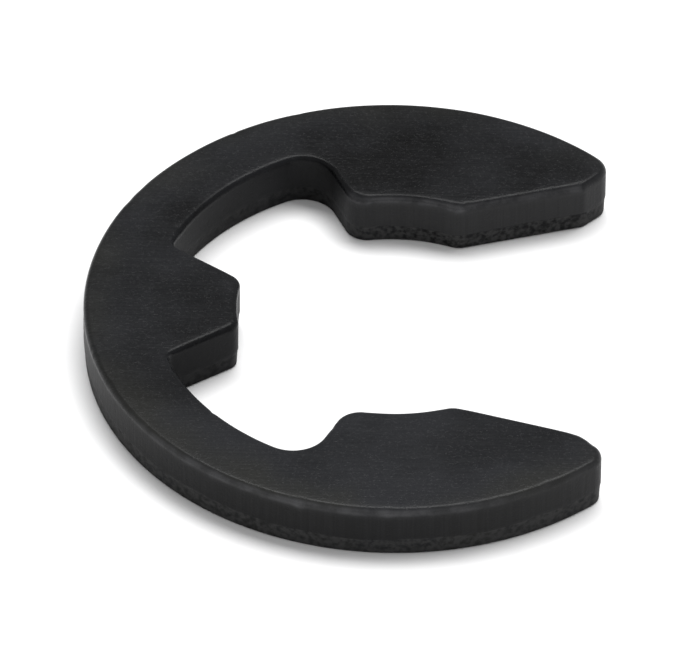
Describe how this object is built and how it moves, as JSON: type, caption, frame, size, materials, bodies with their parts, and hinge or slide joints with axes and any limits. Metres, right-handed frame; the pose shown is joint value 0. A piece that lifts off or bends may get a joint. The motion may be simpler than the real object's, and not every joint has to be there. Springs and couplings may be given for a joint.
{
  "type": "e clip",
  "caption": "Flat open retaining clip stamped from dark spring steel, with a middle lug and shouldered arms that snap sideways into a groove round a shaft.",
  "frame": {"origin": "centre of the shaft groove that the clip seats in, on the clip's lower face", "axes": "+X out of the mouth between the arms, +Z through the thickness from the torn lower edge to the rolled upper edge, along the shaft; +Y along the widest extent"},
  "size_m": [0.0106, 0.0126, 0.0012],
  "materials": {
    "phosphated_spring_steel": "black phosphate and oil over hardened spring steel"
  },
  "bodies": {
    "root": {"e_clip": "phosphated_spring_steel"}
  },
  "joints": []
}
